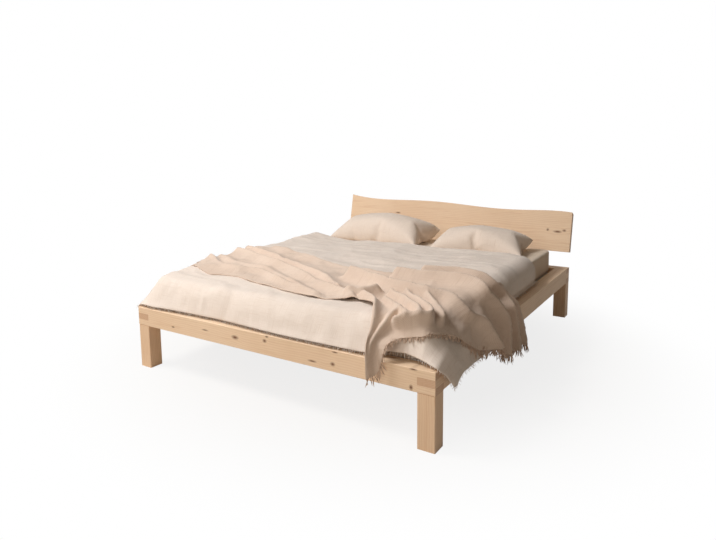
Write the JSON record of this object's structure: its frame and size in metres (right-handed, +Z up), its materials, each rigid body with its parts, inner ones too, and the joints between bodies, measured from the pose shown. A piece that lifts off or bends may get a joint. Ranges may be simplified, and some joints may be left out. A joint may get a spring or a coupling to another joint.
{
  "type": "wooden bed",
  "caption": "Low double bed of solid pine beams with bridle-jointed corners, block legs, a leaning natural-edge headboard, slats, mattress and linen bedding with a fringed throw.",
  "frame": {"origin": "on the floor under the middle of the bed frame, at the centre leg's foot", "axes": "+X to the bed's right seen from the foot, +Y from foot to head, +Z up"},
  "size_m": [1.844, 2.3461, 0.7687],
  "materials": {
    "wood": "oiled pine with knots",
    "slat_wood": "planed, untreated",
    "webbing": "cotton webbing",
    "steel": "zinc plated",
    "mattress_ticking": "cotton ticking",
    "linen": "washed linen",
    "throw_cloth": "loose woven, fringed"
  },
  "bodies": {
    "root": {"foot_rail": "wood", "head_rail": "wood", "side_rail_left": "wood", "side_rail_right": "wood", "leg_front_left": "wood", "leg_front_right": "wood", "leg_rear_left": "wood", "leg_rear_right": "wood", "headboard": "wood", "headboard_post_left": "wood", "headboard_post_right": "wood", "centre_beam": "wood", "centre_leg": "wood", "slat_ledge_left": "wood", "slat_ledge_right": "wood", "corner_dowels": "wood", "centre_dowel": "wood", "slat_01": "slat_wood", "slat_02": "slat_wood", "slat_03": "slat_wood", "slat_04": "slat_wood", "slat_05": "slat_wood", "slat_06": "slat_wood", "slat_07": "slat_wood", "slat_08": "slat_wood", "slat_09": "slat_wood", "slat_10": "slat_wood", "slat_11": "slat_wood", "slat_12": "slat_wood", "slat_13": "slat_wood", "slat_14": "slat_wood", "slat_15": "slat_wood", "slat_16": "slat_wood", "slat_17": "slat_wood", "slat_strap_left": "webbing", "slat_strap_right": "webbing", "post_bolts": "steel", "post_washers": "steel", "post_nuts": "steel", "mattress": "mattress_ticking", "fitted_sheet": "linen", "pillow_left": "linen", "pillow_right": "linen", "duvet": "linen", "throw_blanket": "throw_cloth"}
  },
  "joints": []
}
